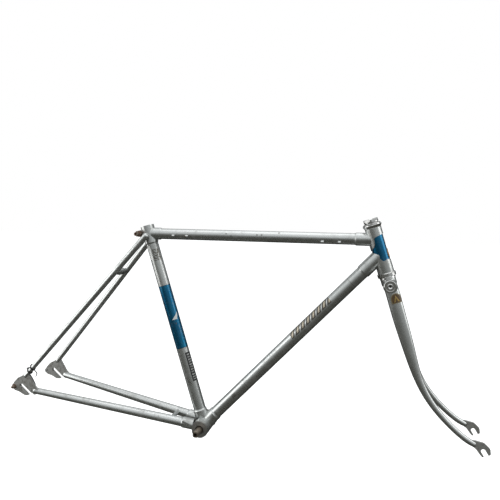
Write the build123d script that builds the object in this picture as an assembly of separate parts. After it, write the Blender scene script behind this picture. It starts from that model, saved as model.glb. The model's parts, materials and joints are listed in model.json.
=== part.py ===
from build123d import *
import math
import os

# Bicycle frame and fork. Millimetres and degrees. X points forward, Y to the rider's left
# and Z up. The origin is the middle of the bottom bracket.

# Frame layout
seat_angle = 72.5
head_angle = 72.0
seat_to_top_tube = 475.0  # along the seat tube, from the origin to the top tube's axis
seat_tube_length = 494.0
top_tube_length = 529.0  # seat tube axis to head tube axis
head_above_top_tube = 26.0
head_below_top_tube = 74.0
down_tube_drop = 34.0  # along the head tube, from the top tube's axis to the down tube's
rear_axle_x = -436.0
rear_axle_z = 65.0

# Tubes: outside radius and wall
seat_tube_radius = 14.3
top_tube_radius = 12.7
down_tube_radius = 14.3
head_tube_radius = 16.2
head_tube_bore = 15.0
tube_wall = 0.9
seat_butt_wall = 1.1  # the seat tube's wall below its top 200 mm
seat_post_depth = 200.0
lug_wall = 1.6

# Bottom bracket
shell_radius = 20.0
shell_half = 34.0
shell_bore = 17.4
bb_ball_radius = 3.1
bb_ball_pitch = 12.0
bb_ball_y = 25.5
bb_ball_count = 9
bb_cage = (2.4, 2.8, 0.4)  # beside the balls, half width and half thickness
cup_hole = 10.0  # where the spindle comes out of a cup
spindle_radius = 7.2
spindle_race_radius = 8.7
spindle_half = 66.0
spindle_square = 12.7
crank_bolt_radius = 4.0

# Rear triangle
axle_face = 63.0  # middle plane to the inner face of a rear dropout
dropout_thickness = 6.5
axle_slot_width = 10.0
axle_slot_angle = -40.0
eyelet_x = -468.0
eyelet_z = 70.5
eyelet_radius = 7.0
eyelet_hole_radius = 2.5
chainstay_front_radius = 11.2
chainstay_rear_radius = 7.6
seatstay_top_radius = 7.5
seatstay_end_radius = 6.0
stay_wall = 1.0
stay_plug = 14.0  # solid end of a stay, brazed to its dropout
tab_depth = 8.0  # how far a dropout's tabs go into the stays
brake_hole_radius = 3.1
bridge_share = 0.255  # brake bridge's place down the seat stays

# Fork, measured down the steering axis from the head tube's bottom end
crown_depth = 27.0
crown_radius = 15.0
crown_half = 40.0
crown_seat = 12.7  # where the crown race sits
steerer_radius = 12.7
steerer_bore = 11.1
steerer_top = 120.0  # above the head tube's bottom end
blade_top_y = 29.8
blade_end_y = 52.75
blade_straight = 202.0
blade_bend_radius = 258.0
blade_end_depth = 378.0
blade_wall = 1.1
fork_end_inner = 50.0
fork_end_thickness = 5.5
fork_slot_width = 9.0

# Headset, heights measured out from each end of the head tube
cup_press_depth = 10.0
headset_ball_radius = 1.98
headset_ball_pitch = 16.0
headset_ball_height = 6.2
headset_ball_count = 20
headset_cage = (1.45, 1.95, 0.25)

# Seat lug and binder
lug_radius = seat_tube_radius + lug_wall
binder_along = 480.5  # along the seat tube
binder_behind = 21.0  # behind the seat tube's axis
binder_slot = 3.0
binder_slot_depth = 33.0  # down from the seat tube's top
seat_lug_foot = 452.0  # along the seat tube
ear_outer = 9.5
ear_radius = 7.5
washer_thickness = 1.5
binder_radius = 3.9

up_seat = Vector(-math.cos(math.radians(seat_angle)), 0, math.sin(math.radians(seat_angle)))
ahead_seat = Vector(up_seat.Z, 0, -up_seat.X)
down_head = Vector(math.cos(math.radians(head_angle)), 0, -math.sin(math.radians(head_angle)))
ahead_head = Vector(-down_head.Z, 0, down_head.X)
left = Vector(0, 1, 0)
origin = Vector(0, 0, 0)

seat_joint = up_seat * seat_to_top_tube
head_joint = seat_joint + Vector(top_tube_length, 0, 0)
head_top = head_joint - down_head * head_above_top_tube
head_bottom = head_joint + down_head * head_below_top_tube
down_joint = head_joint + down_head * down_tube_drop
seat_top = up_seat * seat_tube_length

SIDES = {"right": -1, "left": 1}


def facing(start, axis):
    """Plane at a point, square to an axis."""
    sideways = abs(axis.normalized().Y) > 0.9
    return Plane(origin=start, x_dir=(1, 0, 0) if sideways else left, z_dir=axis)


def rod(start, end, radius):
    """Solid cylinder between two points."""
    place = facing(start, end - start)
    height = (end - start).length
    return place * Cylinder(radius, height, align=(Align.CENTER, Align.CENTER, Align.MIN))


def taper(start, end, start_radius, end_radius):
    """Solid cone frustum between two points."""
    place = facing(start, end - start)
    height = (end - start).length
    align = (Align.CENTER, Align.CENTER, Align.MIN)
    return place * Cone(start_radius, end_radius, height, align=align)


def pipe(start, end, radius, wall):
    """Hollow cylinder between two points."""
    reach = (end - start).normalized()
    return rod(start, end, radius) - rod(start - reach, end + reach, radius - wall)


def turned(profile, start, axis):
    """Solid of revolution. The profile is (height along the axis, radius) pairs."""
    place = facing(start, axis)
    section = make_face(Polyline(*[(radius, 0, height) for height, radius in profile], close=True))
    return place * revolve(section, Axis.Z)


def outline(corners):
    """Face in the XZ plane. Each corner is (x, z, corner radius)."""
    face = Polygon(*[(x, z) for x, z, _ in corners], align=None)
    for x, z, radius in corners:
        if radius:
            corner = face.vertices().sort_by_distance((x, z, 0))[0]
            face = fillet(corner, radius)
    return face


def plate(face, low, high):
    """A face in the XZ plane made solid between two Y positions."""
    place = Plane(origin=(0, high, 0), x_dir=(1, 0, 0), z_dir=(0, -1, 0))
    return extrude(place * face, high - low, dir=(0, -1, 0))


def slot_face(x, z, angle, width, length):
    """Open slot in the XZ plane: a round closed end at x, z and a straight run at an angle."""
    run = Pos(x, z) * Rot(0, 0, angle) * Rectangle(length, width, align=(Align.MIN, Align.CENTER))
    return run + Pos(x, z) * Circle(width / 2)


def ball_ring(middle, axis, pitch, radius, count):
    """Loose balls standing in a circle about an axis."""
    place = facing(middle, axis)
    balls = [place * Pos(spot.position) * Sphere(radius) for spot in PolarLocations(pitch, count)]
    return Compound(children=[ball.solids()[0] for ball in balls])


def ball_cage(middle, axis, pitch, ball_radius, count, cage):
    """Flat ring beside the balls that holds them apart, with a pocket for each."""
    beside, half_width, half_thick = cage
    ends = middle + axis * (beside - half_thick), middle + axis * (beside + half_thick)
    ring = rod(*ends, pitch + half_width) - rod(*ends, pitch - half_width)
    place = facing(middle, axis)
    for spot in PolarLocations(pitch, count):
        ring -= place * Pos(spot.position) * Sphere(ball_radius + 0.15)
    return ring


def hexagon(start, axis, across_flats, height):
    """Hexagonal prism that stands on a point."""
    place = facing(start, axis)
    return extrude(place * RegularPolygon(across_flats / 2, 6, major_radius=False), height)


# ---- Main triangle ----


def seat_line(along, ahead=0.0, y=0.0):
    """Point measured up the seat tube, ahead of its axis and to the left."""
    return up_seat * along + ahead_seat * ahead + left * y


def head_line(depth, ahead=0.0, y=0.0):
    """Point measured down the steering axis from the head tube's bottom end."""
    return head_bottom + down_head * depth + ahead_head * ahead + left * y


shell_body = rod(left * -shell_half, left * shell_half, shell_radius)
seat_body = rod(origin, seat_top, seat_tube_radius)
head_body = rod(head_top, head_bottom, head_tube_radius)
top_body = rod(seat_joint, head_joint, top_tube_radius) - seat_body - head_body
down_body = rod(origin, down_joint, down_tube_radius) - shell_body - seat_body - head_body
down_way = down_joint.normalized()


def make_seat_tube():
    tube = pipe(origin, seat_top, seat_tube_radius, seat_butt_wall) - shell_body
    post_foot = seat_line(seat_tube_length - seat_post_depth)
    tube -= rod(post_foot, seat_top + up_seat, seat_tube_radius - tube_wall)
    return tube - binder_slot_box()


def binder_slot_box():
    """Cut behind the seat tube's top that lets the seat lug close on a seat post."""
    foot = seat_line(seat_tube_length - binder_slot_depth)
    place = Plane(origin=foot, x_dir=left, z_dir=up_seat)
    return place * Box(binder_slot, 60, 90, align=(Align.CENTER, Align.MIN, Align.MIN))


def make_top_tube():
    bore = rod(seat_joint, head_joint, top_tube_radius - tube_wall)
    return top_body - bore


def make_down_tube():
    bore = rod(origin, down_joint, down_tube_radius - tube_wall)
    return down_body - bore


def make_head_tube():
    return pipe(head_top, head_bottom, head_tube_radius, head_tube_radius - head_tube_bore)


def head_sleeve(corners):
    """Part of a sleeve on the head tube, cut to a side outline of (depth, ahead, radius) corners."""
    sleeve = rod(head_top, head_bottom, head_tube_radius + lug_wall)
    places = [(head_line(depth, ahead), radius) for depth, ahead, radius in corners]
    face = outline([(place.X, place.Z, radius) for place, radius in places])
    return sleeve & plate(face, -40, 40)


def make_upper_head_lug():
    length = head_above_top_tube + head_below_top_tube
    band = [(-length - 2, -20, 0), (-length - 2, 20, 0), (-length + 16, 20, 0)]
    band += [(-length + 19, 3, 5), (-length + 21, -4, 4), (-length + 36, -6, 8), (-length + 50, -20, 0)]
    socket_end = head_joint - Vector(43, 0, 0)
    socket = rod(socket_end, head_joint, top_tube_radius + lug_wall)
    return head_sleeve(band) + socket - head_body - rod(seat_joint, head_joint, top_tube_radius)


def make_lower_head_lug():
    band = [(2, -20, 0), (2, 20, 0), (-25, 20, 0), (-29, 10, 4), (-24, 2, 6)]
    band += [(-40, -8, 6), (-48, -20, 0)]
    socket_start = down_joint - down_way * 52
    socket = rod(socket_start, down_joint, down_tube_radius + lug_wall)
    sleeve = head_sleeve(band)
    upper = rod(seat_joint, head_joint, top_tube_radius + lug_wall)
    return sleeve + (socket - upper) - head_body - rod(origin, down_joint, down_tube_radius)


def ear_body():
    """Both binder ears as one block, before the slot and the bolt hole are cut."""
    middle = seat_line(binder_along, -binder_behind)
    disc = rod(middle - left * ear_outer, middle + left * ear_outer, ear_radius)
    place = Plane(origin=seat_line(binder_along), x_dir=left, z_dir=up_seat)
    neck_align = (Align.CENTER, Align.MIN, Align.CENTER)
    neck = place * Box(2 * ear_outer, binder_behind, 2 * ear_radius, align=neck_align)
    return disc + neck


def make_seat_lug():
    sleeve = rod(seat_line(seat_lug_foot), seat_top, lug_radius)
    socket = rod(seat_joint, seat_joint + Vector(29, 0, 0), top_tube_radius + lug_wall)
    body = sleeve + socket + ear_body() - binder_slot_box()
    middle = seat_line(binder_along, -binder_behind)
    body -= rod(middle - left * 30, middle + left * 30, 4.2)
    return body - seat_body - rod(seat_joint, head_joint, top_tube_radius)


def make_shell():
    body = shell_body
    body += rod(origin, seat_line(36), seat_tube_radius + lug_wall)
    body += rod(origin, down_way * 41, down_tube_radius + lug_wall)
    for side in SIDES.values():
        front, rear = chainstay_ends(side)
        way = (rear - front).normalized()
        body += rod(front, front + way * 26, chainstay_front_radius + lug_wall)
    body -= rod(left * -80, left * 80, shell_bore)
    body -= rod(origin, seat_line(80), seat_tube_radius) - shell_body
    body -= rod(origin, down_way * 80, down_tube_radius) - shell_body
    for side in SIDES.values():
        body -= chainstay_body(side) - shell_body
    return body & Box(200, 2 * shell_half, 200)


# ---- Rear triangle ----


def chainstay_ends(side):
    return Vector(-20, 21 * side, 5), Vector(-412, 64 * side, 63)


def seatstay_ends(side):
    return Vector(-143, 22.5 * side, 447), Vector(-437, 66.2 * side, 99)


def stay_body(start, end, start_radius, end_radius):
    """Tapered stay with a round end, not hollow."""
    length = (end - start).length
    side = Polyline((0, 0, 0), (start_radius, 0, 0), (end_radius, 0, length))
    tip = (0, 0, length + end_radius)
    half_way = (end_radius * math.sqrt(0.5), 0, length + end_radius * math.sqrt(0.5))
    dome = ThreePointArc((end_radius, 0, length), half_way, tip)
    section = make_face(side + dome + Line(tip, (0, 0, 0)))
    outward = left if end.Y > 0 else left * -1
    place = Plane(origin=start, x_dir=outward, z_dir=end - start)
    return place * revolve(section, Axis.Z)


def stay_core(start, end, start_radius, end_radius):
    """The hollow inside a stay, from its start to the plug at its end."""
    length = (end - start).length
    plug_share = 1 - stay_plug / length
    plug_radius = start_radius + (end_radius - start_radius) * plug_share
    way = (end - start).normalized()
    core_end = start + way * (length - stay_plug)
    return taper(start - way, core_end, start_radius - stay_wall, plug_radius - stay_wall)


def chainstay_body(side):
    return stay_body(*chainstay_ends(side), chainstay_front_radius, chainstay_rear_radius)


def seatstay_body(side):
    return stay_body(*seatstay_ends(side), seatstay_top_radius, seatstay_end_radius)


def dropout_slot(start, end, side):
    """Slot across a stay's end, for the tab of a dropout."""
    way = Vector(start.X - end.X, 0, start.Z - end.Z).normalized()
    middle = Vector(end.X, side * (axle_face + dropout_thickness / 2), end.Z)
    place = Plane(origin=middle + way * tab_depth, x_dir=left, z_dir=way)
    return place * Box(dropout_thickness, 40, 40, align=(Align.CENTER, Align.CENTER, Align.MAX))


def tab_end(start, end, half_width):
    """Two corners of a dropout's tab, square to its stay, from one edge to the other."""
    way = Vector(start.X - end.X, 0, start.Z - end.Z).normalized()
    across = Vector(way.Z, 0, -way.X) * half_width
    middle = end + way * tab_depth
    return [(point.X, point.Z, 0) for point in (middle + across, middle - across)]


def dropout_face():
    """Side view of a rear dropout, with its two tabs for the stays."""
    seatstay_tab = tab_end(*seatstay_ends(0), 5.0)
    chainstay_tab = tab_end(*chainstay_ends(0), 5.5)
    corners = [
        seatstay_tab[0],
        (-418.5, 87, 14),
        (-411.0, 74, 14),
        chainstay_tab[1],
        chainstay_tab[0],
        (-413.5, 54.2, 2),
        (-420.5, 59.5, 1.5),
        (-429.5, 51.5, 3),
        (-440, 51.2, 8),
        (-455, 58.5, 14),
        (-467, 61, 2),
        (-475, 70, 4),
        (-469, 81, 10),
        (-458, 93, 12),
        (-445, 99.5, 10),
        seatstay_tab[1],
    ]
    return outline(corners) + Pos(eyelet_x, eyelet_z) * Circle(eyelet_radius)


def axle_slot_face():
    back = math.radians(axle_slot_angle)
    closed_x = rear_axle_x - 15 * math.cos(back)
    closed_z = rear_axle_z - 15 * math.sin(back)
    return slot_face(closed_x, closed_z, axle_slot_angle, axle_slot_width, 60)


def clamp_pad_face():
    """Raised pad round the axle slot, where the wheel nut bears."""
    back = math.radians(axle_slot_angle)
    closed_x = rear_axle_x - 15 * math.cos(back)
    closed_z = rear_axle_z - 15 * math.sin(back)
    pad = slot_face(closed_x, closed_z, axle_slot_angle, axle_slot_width + 15, 34)
    rear = chainstay_ends(0)[1]
    stay_end = Pos(rear.X, rear.Z) * Circle(chainstay_rear_radius + 1)
    return (pad & dropout_face()) - axle_slot_face() - stay_end


def make_dropout(side):
    near, far = axle_face * side, (axle_face + dropout_thickness) * side
    body = plate(dropout_face() - axle_slot_face(), min(near, far), max(near, far))
    pad_far = far + 0.8 * side
    body += plate(clamp_pad_face(), min(far, pad_far), max(far, pad_far))
    hole = Vector(eyelet_x, 0, eyelet_z)
    return body - rod(hole, hole + left * 100 * side, eyelet_hole_radius)


def make_chainstay(side):
    core = stay_core(*chainstay_ends(side), chainstay_front_radius, chainstay_rear_radius)
    stay = chainstay_body(side) - core
    stay = stay - shell_body - seat_body - chainstay_body(-side)
    return stay - dropout_slot(*chainstay_ends(side), side) - make_chainstay_bridge()


def make_seatstay(side):
    core = stay_core(*seatstay_ends(side), seatstay_top_radius, seatstay_end_radius)
    stay = seatstay_body(side) - core
    stay -= rod(seat_line(400), seat_line(520), lug_radius)
    return stay - dropout_slot(*seatstay_ends(side), side) - make_brake_bridge()


def make_seatstay_cap(side):
    top, foot = seatstay_ends(side)
    way = (foot - top).normalized()
    dome = Pos(top) * Sphere(seatstay_top_radius) - rod(top, top + way * 20, 20)
    return dome - rod(seat_line(400), seat_line(520), lug_radius)


def make_chainstay_bridge():
    place = Vector(-74, 0, 15.5)
    tube = pipe(place - left * 40, place + left * 40, 5.0, 1.2)
    for side in SIDES.values():
        tube -= chainstay_body(side)
    return middle_solid(tube)


def make_brake_bridge():
    top, foot = seatstay_ends(0)
    place = top + (foot - top) * bridge_share
    way = Vector(place.X - rear_axle_x, 0, place.Z - rear_axle_z).normalized()
    across = Vector(-way.Z, 0, way.X)
    tube = rod(place - left * 45, place + left * 45, 5.5)
    tube += rod(place - left * 11, place + left * 11, 8.0)
    for side in SIDES.values():
        tube -= seatstay_body(side)
    tube -= rod(place - across * 20, place + across * 20, brake_hole_radius)
    return middle_solid(tube)


def middle_solid(shape):
    """The solid that lies nearest the middle plane."""
    return sorted(shape.solids(), key=lambda solid: abs(solid.center().Y) - solid.volume)[0]


# ---- Bottom bracket bearing ----


def cup_profile():
    """Half section of a bearing cup, measured out from the middle plane."""
    inner, floor, face = 16.0, bb_ball_y + bb_ball_radius + 0.3, shell_half
    race = bb_ball_pitch + bb_ball_radius + 0.2
    step = [(inner, race), (floor, race), (floor, cup_hole), (face, cup_hole)]
    return step + [(face, shell_bore), (inner, shell_bore)]


def make_fixed_cup():
    right = left * -1
    cup = turned(cup_profile(), origin, right)
    flange = rod(right * shell_half, right * (shell_half + 3.2), 19.4)
    flange -= rod(right * 20, right * 60, cup_hole)
    flats = Box(36.5, 200, 60)
    return cup + (flange & flats)


def make_adjustable_cup():
    cup = turned(cup_profile(), origin, left)
    cup += rod(left * shell_half, left * (shell_half + 7), shell_bore)
    cup -= rod(left * shell_half, left * 60, cup_hole)
    for spot in PolarLocations(14.2, 6):
        hole = Vector(spot.position.X, 0, spot.position.Y)
        cup -= rod(hole + left * (shell_half + 3), hole + left * 60, 1.5)
    return cup


def make_lockring():
    ring = rod(left * shell_half, left * (shell_half + 4), 21.5)
    ring -= rod(left * 20, left * 60, shell_bore)
    for spot in PolarLocations(22.0, 6, 30):
        notch = Vector(spot.position.X, 0, spot.position.Y)
        ring -= rod(notch + left * 20, notch + left * 60, 2.2)
    return ring


def make_spindle():
    shoulder = bb_ball_y - bb_ball_radius - 0.15
    half = [(0, 0), (0, spindle_radius - 0.4), (shoulder - 8, spindle_radius - 0.4)]
    half += [(shoulder - 5, 10.6), (shoulder, 10.6), (shoulder, spindle_race_radius)]
    half += [(31, spindle_race_radius), (32, spindle_radius)]
    half += [(spindle_half, spindle_radius), (spindle_half, 0)]
    body = turned(half, origin, left) + turned(half, origin, left * -1)
    for side in SIDES.values():
        start, end = left * (42 * side), left * ((spindle_half + 1) * side)
        body -= rod(start, end, 20) - square_taper(start, end)
        body -= rod(left * ((spindle_half - 24) * side), end, crank_bolt_radius)
    return body


def square_taper(start, end):
    """Four-sided taper for a crank, wide at the start."""
    wide = facing(start, end - start) * Rectangle(spindle_square + 1.5, spindle_square + 1.5)
    narrow = facing(end, end - start) * Rectangle(spindle_square, spindle_square)
    return loft(Sketch() + [wide, narrow])


# ---- Headset ----


def upper_cup_profile():
    """Pressed upper cup, heights above the head tube."""
    floor = headset_ball_height - headset_ball_radius - 0.1
    return [
        (-cup_press_depth, 13.6),
        (-cup_press_depth, head_tube_bore),
        (0, head_tube_bore),
        (0, 17.2),
        (6.2, 20.6),
        (7.6, 20.2),
        (7.6, 18.2),
        (floor, 18.2),
        (floor, 13.6),
    ]


def lower_cup_profile():
    """Pressed lower cup, heights below the head tube."""
    floor = headset_ball_height - headset_ball_radius - 0.1
    return [
        (-cup_press_depth, 13.6),
        (-cup_press_depth, head_tube_bore),
        (0, head_tube_bore),
        (0, 18.4),
        (1.2, 20.0),
        (8.0, 20.0),
        (9.0, 19.2),
        (9.0, 18.2),
        (floor, 18.2),
        (floor, 13.6),
    ]


def make_crown_race():
    under = headset_ball_height + headset_ball_radius + 0.1
    profile = [(under, steerer_radius), (under, 16.8)]
    profile += [(crown_seat, 17.3), (crown_seat, steerer_radius)]
    return turned(profile, head_bottom, down_head)


def make_adjusting_cone():
    over = headset_ball_height + headset_ball_radius + 0.1
    profile = [(4.4, steerer_radius), (4.4, 13.8), (over, 13.8), (over, 19.4), (9.4, 19.4)]
    profile += [(12.6, 14.6), (13.4, 14.6), (13.4, steerer_radius)]
    return turned(profile, head_top, down_head * -1)


def make_keyed_washer():
    up = down_head * -1
    return pipe(head_top + up * 13.4, head_top + up * 15.0, 16.0, 16.0 - steerer_radius)


def make_locknut():
    up = down_head * -1
    nut = hexagon(head_top + up * 15.0, up, 31.0, 5.6)
    nut &= turned([(14, 0), (14, 15.6), (16, 17), (19, 17), (20.6, 15), (20.6, 0)], head_top, up)
    return nut - rod(head_top, head_top + up * 40, steerer_radius)


# ---- Fork ----


def blade_middle(depth):
    """Distance of a blade's middle line ahead of the steering axis."""
    run = max(depth - blade_straight, 0)
    return blade_bend_radius - math.sqrt(blade_bend_radius**2 - run**2)


def blade_lean(depth):
    """Angle of a blade's middle line to the steering axis, in radians."""
    return math.asin(max(depth - blade_straight, 0) / blade_bend_radius)


def blade_y(depth):
    share = (depth - crown_depth) / (blade_end_depth - crown_depth)
    return blade_top_y + (blade_end_y - blade_top_y) * share


def blade_section(depth, side, half_deep, half_wide):
    """Oval slice across a fork blade."""
    lean = blade_lean(depth)
    way = down_head * math.cos(lean) + ahead_head * math.sin(lean)
    middle = head_line(depth, blade_middle(depth), side * blade_y(depth))
    return Plane(origin=middle, x_dir=left, z_dir=way) * Ellipse(half_wide, half_deep)


blade_sizes = [
    (crown_depth, 14.6, 10.0),
    (100, 14.3, 9.9),
    (150, 12.8, 9.2),
    (200, 10.2, 8.3),
    (245, 8.0, 7.3),
    (290, 6.8, 6.6),
    (335, 6.2, 6.2),
    (blade_end_depth, 5.8, 5.8),
]


def blade_loft(side, thinner, last):
    """Fork blade as one smooth solid, made thinner by a wall and ended at a depth."""
    stations = [station for station in blade_sizes if station[0] <= last]
    faces = [blade_section(depth, side, a - thinner, b - thinner) for depth, a, b in stations]
    return loft(Sketch() + faces)


def make_blade(side):
    blade = blade_loft(side, 0, blade_end_depth)
    foot = head_line(blade_end_depth, blade_middle(blade_end_depth), side * blade_end_y)
    blade += Pos(foot) * Sphere(5.75)
    blade -= blade_loft(side, blade_wall, 340)
    middle = head_line(crown_depth)
    past_crown = rod(middle, middle + left * 60 * side, crown_radius)
    return blade - crown_body() - past_crown - make_fork_end(side)


def crown_body():
    middle = head_line(crown_depth)
    tube = rod(middle - left * crown_half, middle + left * crown_half, crown_radius)
    tube -= rod(head_line(0), head_line(crown_seat), 20)
    return tube + rod(head_line(crown_seat), middle, 16.6)


def make_crown():
    middle = head_line(crown_depth)
    body = crown_body() - rod(middle - left * 60, middle + left * 60, crown_radius - 3)
    body += rod(head_line(crown_depth - 12.5), head_line(crown_depth + 12.5), 16.0) & crown_body()
    body -= rod(head_line(-20), head_line(60), steerer_radius)
    return body - rod(head_line(crown_depth, -40), head_line(crown_depth, 40), brake_hole_radius)


def make_crown_cap(side):
    """Round end plug of the crown tube: bright rim, sunken ring and a raised middle with a hole."""
    steps = [(-4, 2.2), (-4, 11.9), (0, 11.9), (0, 13.6), (1.6, 13.2), (2.2, 12.2)]
    steps += [(2.2, 10.0), (0.6, 9.4), (0.6, 6.4), (2.0, 6.0), (2.4, 4.8), (1.2, 2.2)]
    profile = [(crown_half + out, radius) for out, radius in steps]
    return turned(profile, head_line(crown_depth), left * side)


def make_steerer():
    tube = pipe(head_line(-steerer_top), head_line(41.5), steerer_radius, steerer_radius - steerer_bore)
    return tube - rod(head_line(crown_depth, -40), head_line(crown_depth, 40), brake_hole_radius)


fork_axle_depth = 395.0
fork_axle_ahead = 83.0


def fork_end_face():
    """Side view of a fork end with its tab for the blade."""
    corners = [
        (375.2, 61.2, 0),
        (388, 70.5, 8),
        (401, 75.0, 6),
        (408, 78.5, 2.5),
        (404.5, 83.5, 0),
        (406, 95, 3),
        (394, 97.5, 6),
        (380, 89.5, 8),
        (372, 75, 8),
        (369.1, 67.8, 0),
    ]
    places = [(head_line(depth, ahead), radius) for depth, ahead, radius in corners]
    return outline([(place.X, place.Z, radius) for place, radius in places])


def make_fork_end(side):
    near, far = fork_end_inner * side, (fork_end_inner + fork_end_thickness) * side
    closed = head_line(fork_axle_depth, fork_axle_ahead)
    slot = slot_face(closed.X, closed.Z, -head_angle + 14, fork_slot_width, 40)
    return plate(fork_end_face() - slot, min(near, far), max(near, far))


# ---- Fasteners and small fittings ----


def make_binder_bolt():
    middle = seat_line(binder_along, -binder_behind)
    face = ear_outer + washer_thickness
    bolt = rod(middle + left * face, middle - left * 26, binder_radius)
    bolt += rod(middle - left * 26, middle - left * 29, 4.6)
    bolt += hexagon(middle + left * face, left, 13.0, 5.5)
    return bolt - rod(middle - left * 25, middle - left * 30, 2.2)


def make_binder_nut():
    middle = seat_line(binder_along, -binder_behind)
    nut = hexagon(middle - left * (ear_outer + washer_thickness), left * -1, 13.0, 8.0)
    return nut - rod(middle, middle - left * 40, binder_radius + 0.05)


def make_binder_washers():
    middle = seat_line(binder_along, -binder_behind)
    rings = []
    for low in (ear_outer, -ear_outer - washer_thickness):
        ring = pipe(middle + left * low, middle + left * (low + washer_thickness), 7.6, 3.6)
        rings.append(ring.solids()[0])
    return Compound(children=rings)


def make_guides(places, drop):
    """Short brazed tubes on the top tube's right side that carry a cable."""
    angle = math.asin(drop / top_tube_radius)
    reach = top_tube_radius + 2.1
    across = Vector(0, -math.cos(angle), -math.sin(angle)) * reach
    half = Vector(3.2, 0, 0)
    guides = []
    for x in places:
        middle = Vector(x, 0, seat_joint.Z) + across
        guide = rod(middle - half, middle + half, 3.0)
        guide -= rod(middle - half * 2, middle + half * 2, 1.4)
        guide -= rod(seat_joint, head_joint, top_tube_radius)
        guides.append(guide.solids()[0])
    return Compound(children=guides)


def make_eyelet_bolt():
    face = axle_face + dropout_thickness
    hole = Vector(eyelet_x, 0, eyelet_z)
    bolt = rod(hole - left * (axle_face - 2), hole - left * (face + 3), 2.45)
    bolt += rod(hole - left * face, hole - left * (face + 1.2), 5.4)
    bolt += hexagon(hole - left * (face + 1.2), left * -1, 8.0, 5.0)
    return bolt + taper(hole - left * (face + 6.2), hole - left * (face + 11.5), 3.2, 1.2)


def tie_band(distance, tail):
    """Cable tie round the right seat stay, at a distance from its foot, with a loose tail."""
    top, foot = seatstay_ends(SIDES["right"])
    way = (top - foot).normalized()
    slope = (seatstay_top_radius - seatstay_end_radius) / (top - foot).length
    inner = seatstay_end_radius + slope * (distance + 4) + 0.1
    low, high = foot + way * (distance - 1.9), foot + way * (distance + 1.9)
    band = rod(low, high, inner + 1.3)
    place = Plane(origin=foot + way * distance, x_dir=way.cross(left).normalized(), z_dir=way)
    band += place * Pos(-inner - 2.2, 0, 0) * Box(4.4, 5.4, 5.2)
    for start, end in zip(tail, tail[1:]):
        band += rod(Vector(*start), Vector(*end), 1.1)
        band += Pos(*end) * Sphere(1.1)
    band -= rod(foot - way * 20, foot + way * 60, inner)
    return band.solids().sort_by(SortBy.VOLUME)[-1]


def make_head_badge():
    shell = rod(head_line(-50), head_line(-28), head_tube_radius + 0.8)
    middle = head_line(-39, head_tube_radius)
    place = Plane(origin=middle, x_dir=left, z_dir=ahead_head)
    window = place * extrude(Ellipse(7.5, 10.5), 12, both=True)
    return (shell & window) - head_body


parts = {
    "seat_tube": make_seat_tube(),
    "top_tube": make_top_tube(),
    "down_tube": make_down_tube(),
    "head_tube": make_head_tube(),
    "upper_head_lug": make_upper_head_lug(),
    "lower_head_lug": make_lower_head_lug(),
    "seat_lug": make_seat_lug(),
    "bottom_bracket_shell": make_shell(),
    "chainstay_bridge": make_chainstay_bridge(),
    "brake_bridge": make_brake_bridge(),
    "fixed_cup": make_fixed_cup(),
    "adjustable_cup": make_adjustable_cup(),
    "bottom_bracket_lockring": make_lockring(),
    "bottom_bracket_spindle": make_spindle(),
    "upper_head_cup": turned(upper_cup_profile(), head_top, down_head * -1),
    "lower_head_cup": turned(lower_cup_profile(), head_bottom, down_head),
    "crown_race": make_crown_race(),
    "headset_adjusting_cone": make_adjusting_cone(),
    "headset_keyed_washer": make_keyed_washer(),
    "headset_locknut": make_locknut(),
    "steerer_tube": make_steerer(),
    "fork_crown": make_crown(),
    "seat_binder_bolt": make_binder_bolt(),
    "seat_binder_nut": make_binder_nut(),
    "seat_binder_washers": make_binder_washers(),
    "rear_cable_guides": make_guides([-76, -43], 3.2),
    "front_cable_guides": make_guides([271, 308], 6.8),
    "eyelet_bolt": make_eyelet_bolt(),
    "head_badge": make_head_badge(),
}

for name, side in SIDES.items():
    parts[name + "_chainstay"] = make_chainstay(side)
    parts[name + "_seatstay"] = make_seatstay(side)
    parts[name + "_seatstay_cap"] = make_seatstay_cap(side)
    parts[name + "_dropout"] = make_dropout(side)
    parts[name + "_fork_blade"] = make_blade(side)
    parts[name + "_fork_end"] = make_fork_end(side)
    parts[name + "_crown_cap"] = make_crown_cap(side)
    middle = left * (side * bb_ball_y)
    ring = (middle, left * side, bb_ball_pitch, bb_ball_radius, bb_ball_count)
    parts[name + "_bracket_balls"] = ball_ring(*ring)
    parts[name + "_bracket_ball_cage"] = ball_cage(*ring, bb_cage)

for name, end, way in (("upper", head_top, down_head * -1), ("lower", head_bottom, down_head)):
    middle = end + way * headset_ball_height
    ring = (middle, way, headset_ball_pitch, headset_ball_radius, headset_ball_count)
    parts[name + "_headset_balls"] = ball_ring(*ring)
    parts[name + "_headset_ball_cage"] = ball_cage(*ring, headset_cage)

upper_tail = [(-412, -69, 116), (-403, -70, 108.5), (-408.5, -70, 98.5)]
lower_tail = [(-424, -71, 106), (-418, -71, 99), (-407, -71, 81)]
parts["upper_cable_tie"] = tie_band(26, upper_tail)
parts["lower_cable_tie"] = tie_band(15, lower_tail)

os.makedirs("parts", exist_ok=True)
for name, shape in parts.items():
    export_step(shape, f"parts/{name}.step")
    print(name, round(sum(solid.volume for solid in shape.solids())))
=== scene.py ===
import json
import math

import bmesh
import bpy
from mathutils import Euler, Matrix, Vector
from mathutils.bvhtree import BVHTree


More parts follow.
